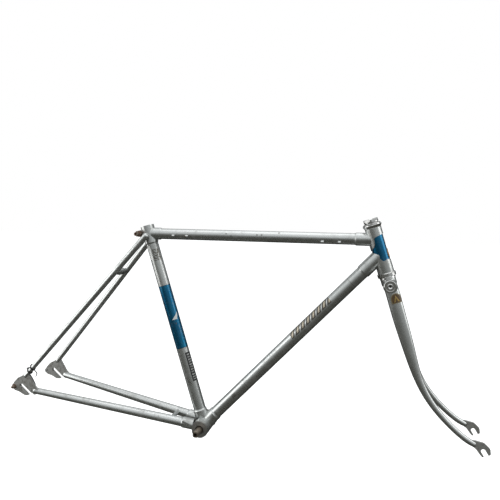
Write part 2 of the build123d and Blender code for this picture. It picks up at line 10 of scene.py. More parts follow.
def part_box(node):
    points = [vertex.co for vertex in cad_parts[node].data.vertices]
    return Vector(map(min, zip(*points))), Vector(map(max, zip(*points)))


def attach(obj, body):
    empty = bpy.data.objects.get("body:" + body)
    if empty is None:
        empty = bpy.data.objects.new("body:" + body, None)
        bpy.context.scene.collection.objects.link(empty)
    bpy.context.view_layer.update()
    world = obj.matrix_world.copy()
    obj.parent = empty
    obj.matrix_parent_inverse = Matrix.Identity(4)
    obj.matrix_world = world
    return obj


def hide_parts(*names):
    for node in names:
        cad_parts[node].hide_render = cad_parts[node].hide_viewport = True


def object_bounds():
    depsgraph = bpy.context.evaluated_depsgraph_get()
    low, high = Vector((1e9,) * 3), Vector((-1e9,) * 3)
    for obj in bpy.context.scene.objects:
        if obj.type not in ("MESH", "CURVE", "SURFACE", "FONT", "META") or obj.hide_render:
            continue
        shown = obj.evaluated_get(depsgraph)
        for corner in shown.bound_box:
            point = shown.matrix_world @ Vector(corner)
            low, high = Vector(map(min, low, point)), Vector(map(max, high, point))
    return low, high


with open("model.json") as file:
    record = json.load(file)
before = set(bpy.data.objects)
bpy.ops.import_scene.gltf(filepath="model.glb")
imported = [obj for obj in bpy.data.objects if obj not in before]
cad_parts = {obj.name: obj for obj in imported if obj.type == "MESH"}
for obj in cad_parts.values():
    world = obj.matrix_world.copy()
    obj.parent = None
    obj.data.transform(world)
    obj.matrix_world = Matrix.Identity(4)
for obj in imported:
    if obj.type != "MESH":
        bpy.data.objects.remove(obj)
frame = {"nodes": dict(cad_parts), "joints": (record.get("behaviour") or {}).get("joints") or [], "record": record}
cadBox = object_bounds()
nodes = frame["nodes"]
mounts = {mount["name"]: mount for mount in frame["record"]["mounts"]}
joints = {joint["name"]: joint for joint in frame["joints"]}
print("frame loaded,", len(nodes), "nodes")

# the bicycle's own lines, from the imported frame
downRise = 0.040  # up the head tube from its foot to the down tube's axis
forward = Vector((1, 0, 0))
leftward = Vector((0, 1, 0))
upward = Vector((0, 0, 1))
seatUp = Vector(mounts["seatpost_bore"]["axis"]).normalized()
seatAhead = Vector((seatUp.z, 0, -seatUp.x))
steerUp = Vector(mounts["stem_bore"]["axis"]).normalized()
steerAhead = Vector((steerUp.z, 0, -steerUp.x))
headFoot = Vector(joints["steering"]["pos_m"])


def tubeRadius(node):
    low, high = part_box(node)
    return (high.y - low.y) / 2


seatRadius = tubeRadius("seat_tube")
topRadius = tubeRadius("top_tube")
downRadius = tubeRadius("down_tube")
headRadius = tubeRadius("head_tube")
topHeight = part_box("top_tube")[1].z - topRadius
seatJoint = seatUp * (topHeight / seatUp.z)
headJoint = headFoot + steerUp * ((topHeight - headFoot.z) / steerUp.z)
downJoint = headFoot + steerUp * downRise
downWay = downJoint.normalized()
downOut = Vector((-downWay.z, 0, downWay.x))  # square to the down tube, upward


def tint(red, green, blue):
    return (red, green, blue, 1)


class Wire:
    # one socket, so that masks are written as sums
    def __init__(self, graph, socket):
        self.graph = graph
        self.socket = socket

    def maths(self, operation, *values):
        return self.graph.node("Math", {"operation": operation}, dict(enumerate(values)))

    def __add__(self, other):
        return self.maths("ADD", self, other)

    def __sub__(self, other):
        return self.maths("SUBTRACT", self, other)

    def __rsub__(self, other):
        return self.maths("SUBTRACT", other, self)

    def __mul__(self, other):
        return self.maths("MULTIPLY", self, other)

    def __truediv__(self, other):
        return self.maths("DIVIDE", self, other)

    def __neg__(self):
        return self.maths("MULTIPLY", self, -1)

    def __abs__(self):
        return self.maths("ABSOLUTE", self)

    __radd__ = __add__
    __rmul__ = __mul__

    def least(self, other):
        return self.maths("MINIMUM", self, other)

    def most(self, other):
        return self.maths("MAXIMUM", self, other)

    def fraction(self):
        return self.maths("FRACT", self)

    def over(self, edge, soft):
        # 0 below the edge and 1 above it
        return self.graph.node(
            "MapRange", {"interpolation_type": "SMOOTHSTEP"},
            {"Value": self, "From Min": edge - soft / 2, "From Max": edge + soft / 2},
        )

    def within(self, low, high, soft):
        return self.over(low, soft) * (1 - self.over(high, soft))


class Graph:
    def __init__(self, tree):
        self.tree = tree
        self.tree.nodes.clear()

    def node(self, kind, settings=None, inputs=None, out=0):
        made = self.tree.nodes.new("ShaderNode" + kind)
        for name, value in (settings or {}).items():
            if name == "stops":
                self.setStops(made.color_ramp.elements, value)
            else:
                setattr(made, name, value)
        for place, value in (inputs or {}).items():
            if isinstance(value, Wire):
                self.tree.links.new(value.socket, made.inputs[place])
            else:
                made.inputs[place].default_value = value
        return Wire(self, made.outputs[out]) if made.outputs else None

    def setStops(self, elements, stops):
        while len(elements) < len(stops):
            elements.new(0.5)
        for element, (place, colour) in zip(elements, stops):
            element.position = place
            element.color = colour


class Finish(Graph):
    def __init__(self, name):
        self.material = bpy.data.materials.new(name)
        self.material.use_nodes = True
        super().__init__(self.material.node_tree)
        self.spot = self.node("TexCoord", out="Object")

    def mixed(self, first, second, share, how="MIX"):
        settings = {"data_type": "RGBA", "blend_type": how}
        return self.node("Mix", settings, {0: share, 6: first, 7: second}, out=2)

    def along(self, way, start=0.0):
        # distance in a direction, in metres
        reach = self.node("VectorMath", {"operation": "DOT_PRODUCT"}, {0: self.spot, 1: way}, out="Value")
        return reach - start

    def around(self, ahead, start=0.0):
        # turn about a tube, in radians, from its right side towards the given way
        return self.along(ahead, start).maths("ARCTAN2", self.along(ahead, start), -self.along(leftward))

    def stretched(self, way, amount):
        # coordinates pressed together along a tube, so that noise draws long marks there
        pull = self.node(
            "VectorMath", {"operation": "SCALE"},
            {0: tuple(way), "Scale": self.along(way) * (amount - 1)},
        )
        return self.node("VectorMath", {"operation": "ADD"}, {0: self.spot, 1: pull})

    def noise(self, scale, detail=3.0, rough=0.5, spot=None):
        inputs = {"Vector": spot or self.spot, "Scale": scale, "Detail": detail, "Roughness": rough}
        return self.node("TexNoise", None, inputs)

    def cells(self, scale, out="Distance"):
        return self.node("TexVoronoi", None, {"Vector": self.spot, "Scale": scale}, out=out)

    def surface(self, fixed, wired, height, reach):
        # fixed holds the values that are the same all over, wired those that vary
        normal = self.node("Bump", None, {"Height": height, "Distance": reach, "Strength": 1.0})
        shader = self.node("BsdfPrincipled", None, {**fixed, **wired, "Normal": normal})
        self.node("OutputMaterial", None, {"Surface": shader})


silverPaint = {
    "colour": tint(0.61, 0.625, 0.615),
    "shade": tint(0.50, 0.515, 0.50),
    "scuff": tint(0.72, 0.72, 0.70),
    "grime": tint(0.14, 0.13, 0.105),
    "primer": tint(0.10, 0.075, 0.055),
    "rust": tint(0.23, 0.10, 0.045),
    "metallic": 0.92,
    "roughness": 0.225,
    "coat": 0.45,
    "scales": {  # size of each kind of mark, a larger value for smaller marks
        "drift": 7, "flake": 2400, "scuff": 900, "patch": 17, "chip": 210,
        "grime": 46, "rust": 380, "peel": 520,
    },
}
bluePaint = {
    "colour": tint(0.003, 0.215, 0.400),
    "deep": tint(0.002, 0.100, 0.230),
    "rubbed": tint(0.07, 0.30, 0.42),
    "driftScale": 14,
    "rubScale": 800,
}


def lacquer(name, way, wear=1.0, dirt=1.0, decals=None):
    # metallic lacquer with flake, drift in tone, long scuffs, chips down to primer, and grime
    finish = Finish(name)
    scales = silverPaint["scales"]
    drift = finish.noise(scales["drift"], 2, 0.5)
    flake = finish.node("SeparateColor", None, {0: finish.cells(scales["flake"], out="Color")})
    scuffs = finish.noise(scales["scuff"], 2, 0.6, spot=finish.stretched(way, 0.06))
    scuffs = scuffs.over(0.66, 0.05) * (wear * 0.5)
    chipPatch = finish.noise(scales["patch"], 2, 0.5).over(0.60, 0.12)
    chips = finish.noise(scales["chip"], 3, 0.6).over(0.70 - 0.02 * wear, 0.02) * chipPatch
    grime = finish.noise(scales["grime"], 6, 0.68).over(0.66 - 0.06 * dirt, 0.22) * (0.5 * dirt)
    tone = finish.mixed(silverPaint["colour"], silverPaint["shade"], drift.over(0.5, 0.5) * 0.55)
    tone = finish.mixed(tone, tint(1, 1, 1), flake * 0.05, "OVERLAY")
    metallic = (1 - grime * 0.5) * silverPaint["metallic"] * (1 - chips * 0.9)
    if decals:
        tone, cover = decals(finish, tone)
        metallic = metallic * (1 - cover)
    tone = finish.mixed(tone, silverPaint["grime"], grime * 0.6)
    tone = finish.mixed(tone, silverPaint["scuff"], scuffs * 0.35)
    tone = finish.mixed(tone, silverPaint["primer"], chips)
    rustSpots = finish.noise(scales["rust"], 2, 0.5).over(0.55, 0.1) * chips
    tone = finish.mixed(tone, silverPaint["rust"], rustSpots * 0.7)
    rough = silverPaint["roughness"] + drift * 0.05 + flake * 0.04
    rough = rough + grime * 0.25 + scuffs * 0.2 + chips * 0.35
    peel = finish.noise(scales["peel"], 2, 0.5) * 0.05 + flake * 0.01 - chips * 0.9 - scuffs * 0.12
    finish.surface(
        {"Coat Roughness": 0.07, "Coat IOR": 1.5},
        {"Base Color": tone, "Metallic": metallic, "Roughness": rough,
         "Coat Weight": (1 - chips) * silverPaint["coat"]},
        peel, 0.00012,
    )
    return finish.material


def blueTone(finish, way):
    drift = finish.noise(bluePaint["driftScale"], 3, 0.5)
    rubbed = finish.noise(bluePaint["rubScale"], 2, 0.6, spot=finish.stretched(way, 0.05)).over(0.64, 0.06)
    tone = finish.mixed(bluePaint["colour"], bluePaint["deep"], drift.over(0.5, 0.4) * 0.7)
    return finish.mixed(tone, bluePaint["rubbed"], rubbed * 0.3)


seatMarks = {  # heights in metres up the tube, turns in radians from its right side forward
    "band": (0.1903, 0.3455), "bandRim": 0.0014,
    "thread": (0.222, 0.316), "threadTurn": 1.03,
    "sail": (0.2607, 0.2775), "sailBack": (0.05, 1.22), "sailFront": (0.95, 0.36),
    "label": (0.1075, 0.1780), "labelTurn": (0.575, 1.78),
    "bars": (0.1115, 0.1740), "barTurn": (0.80, 1.50), "barsEachMetre": 165,
    "crest": (0.4070, 0.4350), "crestTurn": (0.02, 1.25),
    "scar": (0.1035, 0.1195), "scarTurn": (-0.55, 0.25), "scarStart": -0.52, "scarRun": 0.75,
}


def seatTubeDecals(finish, tone):
    # blue band, pale sail, black label with plain bars and a worn crest
    up = finish.along(seatUp)
    turn = finish.around(seatAhead)
    bandLow, bandHigh = seatMarks["band"]
    rim = seatMarks["bandRim"]
    tone = finish.mixed(tone, blueTone(finish, seatUp), up.within(bandLow, bandHigh, 0.0006))
    edge = up.within(bandHigh - rim, bandHigh, 0.0004) + up.within(bandLow, bandLow + rim, 0.0004)
    tone = finish.mixed(tone, tint(0.02, 0.05, 0.08), edge * 0.7)
    wobble = finish.noise(130, 2, 0.5) * 0.10
    dash = finish.noise(240, 1, 0.5).over(0.50, 0.1)
    thread = 1 - abs(turn - seatMarks["threadTurn"] + wobble).over(0.030, 0.03)
    thread = thread * up.within(*seatMarks["thread"], 0.01) * dash
    tone = finish.mixed(tone, tint(0.45, 0.48, 0.42), thread * 0.45)
    sailLow, sailHigh = seatMarks["sail"]
    rise = (up - sailLow) / (sailHigh - sailLow)
    sides = []
    for start, slope in (seatMarks["sailBack"], seatMarks["sailFront"]):
        sides.append((turn - start - rise * slope).over(0, 0.03))
    sail = sides[0] * (1 - sides[1]) * up.within(sailLow, sailHigh, 0.0005)
    tone = finish.mixed(tone, tint(0.88, 0.90, 0.88), sail)
    label = up.within(*seatMarks["label"], 0.0006) * turn.within(*seatMarks["labelTurn"], 0.03)
    tone = finish.mixed(tone, tint(0.010, 0.011, 0.012), label)
    count = (up * seatMarks["barsEachMetre"]).fraction()
    bars = count.within(0.20, 0.66, 0.12) * up.within(*seatMarks["bars"], 0.001)
    bars = bars * turn.within(*seatMarks["barTurn"], 0.05)
    worn = finish.noise(330, 2, 0.6).over(0.46, 0.14)
    tone = finish.mixed(tone, tint(0.62, 0.64, 0.62), bars * worn * 0.8)
    crest = up.within(*seatMarks["crest"], 0.002) * turn.within(*seatMarks["crestTurn"], 0.12)
    crest = crest * finish.noise(300, 3, 0.6).over(0.47, 0.08)
    tone = finish.mixed(tone, tint(0.10, 0.085, 0.06), crest * 0.85)
    scarLow, scarHigh = seatMarks["scar"]
    scarFall = (scarHigh - scarLow) / seatMarks["scarRun"]
    scarLine = scarHigh - (turn - seatMarks["scarStart"]) * scarFall
    scar = 1 - abs(up - scarLine + wobble * 0.02 - 0.001).over(0.0012, 0.001)
    scar = scar * turn.within(*seatMarks["scarTurn"], 0.1)
    tone = finish.mixed(tone, tint(0.12, 0.11, 0.10), scar * 0.75)
    return tone, (sail + label).least(1)


def headTubeDecals(finish, tone):
    wash = finish.noise(60, 2, 0.5).over(0.7, 0.2)
    return finish.mixed(blueTone(finish, steerUp), silverPaint["grime"], wash * 0.15), 0.0


downMarks = {  # metres up the tube, and radians from its side upward
    "panel": (0.150, 0.491), "panelRim": 0.0011,
    "motif": (0.308, 0.431), "motifTurn": (0.06, 1.30), "goldTurn": (0.24, 1.10),
    "barsEachMetre": 60, "slant": 0.0100, "inkShare": (0.06, 0.86), "goldShare": (0.34, 0.60),
    "patch": (0.106, 0.116), "patchAcross": (-0.004, 0.005),
}


def downTubeDecals(finish, tone):
    # a faint transfer panel, and a slanted run of outlined gold bars on each side
    up = finish.along(downWay)
    across = finish.along(downOut)
    right = -finish.along(leftward)
    turn = across.maths("ARCTAN2", across, abs(right))
    low, high = downMarks["panel"]
    edge = downMarks["panelRim"]
    rim = up.within(low, high, 0.0005) - up.within(low + edge, high - edge, 0.0005)
    tone = finish.mixed(tone, tint(0.14, 0.14, 0.13), rim * 0.65)
    slant = up - turn * downMarks["slant"]
    count = (slant * downMarks["barsEachMetre"]).fraction()
    motif = up.within(*downMarks["motif"], 0.001)
    ink = motif * count.within(*downMarks["inkShare"], 0.05) * turn.within(*downMarks["motifTurn"], 0.04)
    gold = motif * count.within(*downMarks["goldShare"], 0.04) * turn.within(*downMarks["goldTurn"], 0.04)
    tone = finish.mixed(tone, tint(0.040, 0.028, 0.016), ink * 0.92)
    tone = finish.mixed(tone, tint(0.66, 0.58, 0.44), gold * 0.9)
    patch = up.within(*downMarks["patch"], 0.0006) * across.within(*downMarks["patchAcross"], 0.0008)
    tone = finish.mixed(tone, tint(0.30, 0.29, 0.27), patch * right.over(0, 0.001) * 0.7)
    return tone, ink * 0.6


# places of the scars along the tube and above its middle, in metres
topChips = [(0.051, 0.0042), (0.063, 0.0), (0.1238, 0.0038), (0.1345, 0.0040), (0.1735, 0.0090)]
topChipHalf = 0.0018


def topTubeDecals(finish, tone):
    # dark scars left by cable clips
    reach = finish.along(forward)
    up = finish.along(upward, topHeight)
    onRight = (-finish.along(leftward)).over(0.002, 0.001)
    wobble = finish.noise(240, 3, 0.6) * 0.004 - 0.002
    scars = 0.0
    for place, height in topChips:
        run = abs(reach - place + wobble)
        rise = abs(up - height + wobble)
        one = 1 - run.most(rise * 1.3).over(topChipHalf, 0.0012)
        scars = one.most(scars)
    tone = finish.mixed(tone, tint(0.13, 0.12, 0.11), scars * onRight * 0.75)
    return tone, 0.0


stayWay = Vector((0.294, -0.0437, 0.348)).normalized()  # the run of the seat stays' scuffs
paintWork = {  # nodes, run of the scuffs, wear, dirt and decals
    "seatTubeLacquer": (["seat_tube"], seatUp, 0.8, 0.7, seatTubeDecals),
    "headTubeBlue": (["head_tube"], steerUp, 0.5, 0.3, headTubeDecals),
    "downTubeLacquer": (["down_tube"], downWay, 1.0, 0.8, downTubeDecals),
    "topTubeLacquer": (
        ["top_tube", "rear_cable_guides", "front_cable_guides"],
        forward, 1.0, 0.7, topTubeDecals,
    ),
    "lugLacquer": (["upper_head_lug", "lower_head_lug", "seat_lug"], steerUp, 0.9, 0.8, None),
    "shellLacquer": (["bottom_bracket_shell", "chainstay_bridge"], forward, 1.2, 1.5, None),
    "chainstayLacquer": (["right_chainstay", "left_chainstay"], forward, 1.3, 1.1, None),
    "seatstayLacquer": (
        ["right_seatstay", "left_seatstay", "right_seatstay_cap", "left_seatstay_cap", "brake_bridge"],
        stayWay, 1.0, 1.0, None,
    ),
    "forkLacquer": (["right_fork_blade", "left_fork_blade", "fork_crown"], steerUp, 1.0, 0.8, None),
}


def dress(nodeNames, material):
    for name in nodeNames:
        slots = nodes[name].data.materials
        slots.clear()
        slots.append(material)


for finishName, (members, way, wear, dirt, decals) in paintWork.items():
    dress(members, lacquer(finishName, way, wear, dirt, decals))
print("lacquer on", sum(len(work[0]) for work in paintWork.values()), "nodes")

metalWork = {
    "headsetChrome": {
        "nodes": ["upper_head_cup", "lower_head_cup", "headset_adjusting_cone", "headset_keyed_washer",
                  "headset_locknut", "crown_race"],
        "colour": tint(0.70, 0.70, 0.69), "stain": tint(0.10, 0.075, 0.045), "metallic": 1.0,
        "roughness": 0.11, "stained": 0.5, "grain": 0.15, "pits": 0.5,
    },
    "capChrome": {
        "nodes": ["right_crown_cap", "left_crown_cap"],
        "colour": tint(0.72, 0.72, 0.71), "stain": tint(0.035, 0.03, 0.025), "metallic": 1.0,
        "roughness": 0.12, "stained": 0.35, "grain": 0.1, "pits": 0.3,
    },
    "dropoutSteel": {
        "nodes": ["right_dropout", "left_dropout", "right_fork_end", "left_fork_end"],
        "colour": tint(0.44, 0.44, 0.42), "stain": tint(0.12, 0.10, 0.08), "metallic": 0.62,
        "roughness": 0.45, "stained": 0.8, "grain": 0.9, "pits": 1.1,
    },
    "spindleSteel": {
        "nodes": ["bottom_bracket_spindle"],
        "colour": tint(0.36, 0.31, 0.25), "stain": tint(0.09, 0.065, 0.045), "metallic": 0.95,
        "roughness": 0.32, "stained": 0.7, "grain": 0.8, "pits": 0.8,
    },
    "cupSteel": {
        "nodes": ["fixed_cup", "adjustable_cup", "bottom_bracket_lockring"],
        "colour": tint(0.42, 0.41, 0.39), "stain": tint(0.05, 0.042, 0.035), "metallic": 0.9,
        "roughness": 0.36, "stained": 0.8, "grain": 0.5, "pits": 0.9,
    },
    "rustySteel": {
        "nodes": ["seat_binder_bolt", "seat_binder_nut", "seat_binder_washers", "eyelet_bolt"],
        "colour": tint(0.26, 0.22, 0.18), "stain": tint(0.16, 0.065, 0.03), "metallic": 0.7,
        "roughness": 0.5, "stained": 1.3, "grain": 0.4, "pits": 1.2,
    },
    "steererSteel": {
        "nodes": ["steerer_tube"],
        "colour": tint(0.24, 0.22, 0.20), "stain": tint(0.11, 0.06, 0.035), "metallic": 0.85,
        "roughness": 0.45, "stained": 1.0, "grain": 0.5, "pits": 0.8,
    },
    "ballSteel": {
        "nodes": ["upper_headset_balls", "lower_headset_balls", "right_bracket_balls", "left_bracket_balls"],
        "colour": tint(0.74, 0.74, 0.75), "stain": tint(0.20, 0.15, 0.08), "metallic": 1.0,
        "roughness": 0.09, "stained": 0.4, "grain": 0.0, "pits": 0.1,
    },
    "cageSteel": {
        "nodes": ["upper_headset_ball_cage", "lower_headset_ball_cage",
                  "right_bracket_ball_cage", "left_bracket_ball_cage"],
        "colour": tint(0.48, 0.44, 0.38), "stain": tint(0.16, 0.11, 0.05), "metallic": 1.0,
        "roughness": 0.33, "stained": 0.7, "grain": 0.3, "pits": 0.4,
    },
}


def bareMetal(name, work):
    finish = Finish(name)
    cloud = finish.noise(120, 5, 0.65)
    fine = finish.noise(1500, 3, 0.6)
    stain = (cloud.over(0.62 - 0.08 * work["stained"], 0.20) * (work["stained"] * 0.75)).least(1)
    pits = (1 - finish.cells(900).over(0.20, 0.14)) * cloud.over(0.5, 0.2) * (work["pits"] * 0.6)
    grain = finish.noise(2600, 2, 0.5, spot=finish.stretched(leftward, 0.12))
    tone = finish.mixed(work["colour"], work["stain"], stain)
    tone = finish.mixed(tone, tint(0.03, 0.025, 0.02), pits.least(1) * 0.7)
    tone = finish.mixed(tone, tint(0.9, 0.9, 0.9), fine.over(0.62, 0.1) * 0.10)
    rough = work["roughness"] + stain * 0.28 + fine * 0.06 + pits * 0.2
    metallic = work["metallic"] * (1 - stain * 0.55)
    height = (grain * 0.10 + fine * 0.06) * work["grain"] - pits * 0.5 - stain * 0.08
    finish.surface({}, {"Base Color": tone, "Metallic": metallic, "Roughness": rough}, height, 0.00015)
    return finish.material


for metalName, work in metalWork.items():
    dress(work["nodes"], bareMetal(metalName, work))
print("metal on", sum(len(work["nodes"]) for work in metalWork.values()), "nodes")


def addPiece(name, mesh, material, body):
    piece = bpy.data.objects.new(name, mesh)
    bpy.context.scene.collection.objects.link(piece)
    mesh.materials.append(material)
    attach(piece, body)
    return piece


def finishMesh(name, shape, smooth=True):
    bmesh.ops.recalc_face_normals(shape, faces=shape.faces)
    mesh = bpy.data.meshes.new(name)
    shape.to_mesh(mesh)
    shape.free()
    for face in mesh.polygons:
        face.use_smooth = smooth
    return mesh


def joinLoops(shape, loops, closed=True):
    # skins neighbouring loops of vertices, and the last to the first when closed
    pairs = list(zip(loops, loops[1:]))
    if closed:
        pairs.append((loops[-1], loops[0]))
    for here, there in pairs:
        for place in range(len(here)):
            after = (place + 1) % len(here)
            shape.faces.new((here[place], here[after], there[after], there[place]))


def turnedMesh(name, profile, start, way, steps=72):
    # a closed (height, radius) outline swept round an axis
    side = way.orthogonal().normalized()
    other = way.cross(side)
    shape = bmesh.new()
    loops = []
    for step in range(steps):
        turn = 2 * math.pi * step / steps
        out = side * math.cos(turn) + other * math.sin(turn)
        loops.append([shape.verts.new(start + way * height + out * radius) for height, radius in profile])
    joinLoops(shape, loops)
    return finishMesh(name, shape)


# brazing fillets where the tubes leave their sockets
fillet = {"height": 0.0015, "reach": 0.0034, "steps": 6, "sink": 0.0003, "skin": 0.00003, "curve": 2.2}
chainstay = {
    "front": (-0.020, 0.021, 0.005), "rear": (-0.412, 0.064, 0.063),
    "socket": 0.026, "radius": 0.01096,
}
socketEnds = {  # metres from each joint to the end of its socket
    "topHead": 0.043, "topSeat": 0.029, "downHead": 0.052,
    "seatLug": 0.452, "seatShell": 0.036, "downShell": 0.041,
}


def filletProfile(radius):
    # concave run from the socket's edge down to the tube
    points = [(-fillet["sink"], radius - fillet["sink"]), (-fillet["sink"], radius + fillet["height"])]
    for step in range(fillet["steps"] + 1):
        share = step / fillet["steps"]
        rise = fillet["height"] * (1 - share) ** fillet["curve"]
        points.append((fillet["reach"] * share, radius + rise + fillet["skin"]))
    points.append((fillet["reach"], radius - fillet["sink"]))
    return points


filletPlaces = {
    "topTubeHeadFillet": (headJoint - forward * socketEnds["topHead"], -forward, topRadius),
    "topTubeSeatFillet": (seatJoint + forward * socketEnds["topSeat"], forward, topRadius),
    "downTubeHeadFillet": (downJoint - downWay * socketEnds["downHead"], -downWay, downRadius),
    "seatTubeLugFillet": (seatUp * socketEnds["seatLug"], -seatUp, seatRadius),
    "seatTubeShellFillet": (seatUp * socketEnds["seatShell"], seatUp, seatRadius),
    "downTubeShellFillet": (downWay * socketEnds["downShell"], downWay, downRadius),
}
for side, mirror in (("right", -1), ("left", 1)):
    front, rear = (Vector((x, y * mirror, z)) for x, y, z in (chainstay["front"], chainstay["rear"]))
    stayLine = (rear - front).normalized()
    start = front + stayLine * chainstay["socket"]
    filletPlaces[side + "ChainstayFillet"] = (start, stayLine, chainstay["radius"])
filletLacquer = lacquer("filletLacquer", steerUp, 0.7, 1.3)
for filletName, (start, way, radius) in filletPlaces.items():
    mesh = turnedMesh(filletName, filletProfile(radius), start, way)
    addPiece(filletName, mesh, filletLacquer, "frame")
print("fillets", len(filletPlaces))


def plateMesh(name, outline, wrap, thick, strips=0.0012):
    # thin plate: the outline is flat (across, up) points, and wrap lays a point on the tube
    shape = bmesh.new()
    shape.faces.new([shape.verts.new((across, up, 0)) for across, up in outline])
    low = min(across for across, up in outline)
    high = max(across for across, up in outline)
    for cut in range(1, int((high - low) / strips)):
        geometry = shape.verts[:] + shape.edges[:] + shape.faces[:]
        bmesh.ops.bisect_plane(shape, geom=geometry, plane_co=(low + cut * strips, 0, 0), plane_no=(1, 0, 0))
    grown = bmesh.ops.extrude_face_region(shape, geom=shape.faces[:])
    for item in grown["geom"]:
        if isinstance(item, bmesh.types.BMVert):
            item.co.z = thick
    for vert in shape.verts:
        vert.co = wrap(vert.co.x, vert.co.y, vert.co.z)
    return finishMesh(name, shape, smooth=False)


def enamel(name, colour, rough=0.3, metallic=0.0):
    finish = Finish(name)
    wear = finish.noise(420, 4, 0.6)
    dark = tint(*(channel * 0.4 for channel in colour[:3]))
    tone = finish.mixed(colour, dark, wear.over(0.56, 0.18) * 0.7)
    shine = metallic * (1 - wear.over(0.6, 0.1) * 0.4)
    finish.surface(
        {"Coat Weight": 0.4, "Coat Roughness": 0.1},
        {"Base Color": tone, "Metallic": shine, "Roughness": rough + wear * 0.15},
        wear * 0.2, 0.0001,
    )
    return finish.material


enamels = {
    "goldEnamel": enamel("goldEnamel", tint(0.55, 0.38, 0.13), 0.28, 0.8),
    "redEnamel": enamel("redEnamel", tint(0.42, 0.05, 0.02), 0.35),
    "orangeEnamel": enamel("orangeEnamel", tint(0.62, 0.22, 0.05), 0.32),
    "brownEnamel": enamel("brownEnamel", tint(0.12, 0.070, 0.028), 0.4),
    "oliveEnamel": enamel("oliveEnamel", tint(0.30, 0.25, 0.14), 0.4, 0.3),
    "creamEnamel": enamel("creamEnamel", tint(0.52, 0.47, 0.33), 0.4),
}
dress(["head_badge"], enamels["orangeEnamel"])

badge = {"depth": 0.039, "face": 0.0008, "rim": (0.0069, 0.0099), "rimHalf": 0.0006}


def onHeadTube(across, up, height):
    turn = across / headRadius
    out = steerAhead * math.cos(turn) + leftward * math.sin(turn)
    return headFoot + steerUp * (badge["depth"] + up) + out * (headRadius + badge["face"] + height)


def ovalOutline(wide, tall, steps=40):
    turns = [2 * math.pi * step / steps for step in range(steps)]
    return [(wide * math.cos(turn), tall * math.sin(turn)) for turn in turns]


def ringMesh(name, outline, wrap, half, height):
    # a raised rim that follows an outline
    shape = bmesh.new()
    loops = []
    for across, up in outline:
        reach = math.hypot(across, up)
        inner, outer = (reach - half) / reach, (reach + half) / reach
        corners = [(outer, 0), (outer, height * 0.7), (1.0, height), (inner, height * 0.7), (inner, 0)]
        loops.append([shape.verts.new(wrap(across * grow, up * grow, lift)) for grow, lift in corners])
    joinLoops(shape, loops)
    return finishMesh(name, shape)


rim = ringMesh("headBadgeRim", ovalOutline(*badge["rim"]), onHeadTube, badge["rimHalf"], badge["rimHalf"])
addPiece("headBadgeRim", rim, enamels["goldEnamel"], "frame")
badgeShapes = {
    "headBadgeBand": (
        [(-0.0055, -0.0012), (0.0055, 0.0012), (0.0055, 0.0040), (-0.0055, 0.0016)], "redEnamel",
    ),
    "headBadgeFoot": (
        [(-0.0036, -0.0068), (0.0036, -0.0068), (0.0, -0.0018)], "goldEnamel",
    ),
    "headBadgeCrown": (
        [(-0.0030, 0.0048), (0.0030, 0.0058), (0.0018, 0.0080), (-0.0018, 0.0080)], "creamEnamel",
    ),
}
for shapeName, (outline, colourName) in badgeShapes.items():
    mesh = plateMesh(shapeName, outline, onHeadTube, 0.0004)
    addPiece(shapeName, mesh, enamels[colourName], "frame")

crownShield = {
    "depth": 0.0535, "ahead": 0.0045, "clear": 0.060,
    "wide": 0.0104, "foot": -0.0092, "shoulder": -0.0020, "archWide": 0.0106, "archTall": 0.0122,
    "steps": 12, "edge": 1.08, "field": 0.92,
}


def onBlade(sideName, side):
    # wraps a point on the outer face of a fork blade
    blade = nodes[sideName + "_fork_blade"].data
    corners = [vert.co for vert in blade.vertices]
    skin = BVHTree.FromPolygons(corners, [face.vertices for face in blade.polygons])

    def wrap(across, up, height):
        start = headFoot - steerUp * (crownShield["depth"] - up)
        outer = start + steerAhead * (crownShield["ahead"] + across)
        outer = outer + leftward * (side * crownShield["clear"])
        spot = skin.ray_cast(outer, leftward * -side)[0] or skin.find_nearest(outer)[0]
        return spot + leftward * (side * height)
    return wrap


def shieldOutline(size):
    # flat foot and a round top
    wide, foot, shoulder = crownShield["wide"], crownShield["foot"], crownShield["shoulder"]
    points = [(-wide, foot), (wide, foot)]
    for step in range(crownShield["steps"] + 1):
        turn = math.pi * step / crownShield["steps"]
        across = crownShield["archWide"] * math.cos(turn)
        points.append((across, shoulder + crownShield["archTall"] * math.sin(turn)))
    return [(across * size, up * size) for across, up in points]


chevron = [
    (-0.0058, -0.0070), (-0.0030, -0.0070), (0.0, 0.0012),
    (0.0030, -0.0070), (0.0058, -0.0070), (0.0, 0.0074),
]
for sideName, side in (("right", -1), ("left", 1)):
    wrap = onBlade(sideName, side)
    layers = {
        "ShieldEdge": (shieldOutline(crownShield["edge"]), 0.00035, "oliveEnamel"),
        "ShieldField": (shieldOutline(crownShield["field"]), 0.00060, "brownEnamel"),
        "ShieldChevron": (chevron, 0.00085, "goldEnamel"),
    }
    for layerName, (outline, thick, colourName) in layers.items():
        mesh = plateMesh(sideName + layerName, outline, wrap, thick)
        addPiece(sideName + layerName, mesh, enamels[colourName], "fork")
print("badges made")

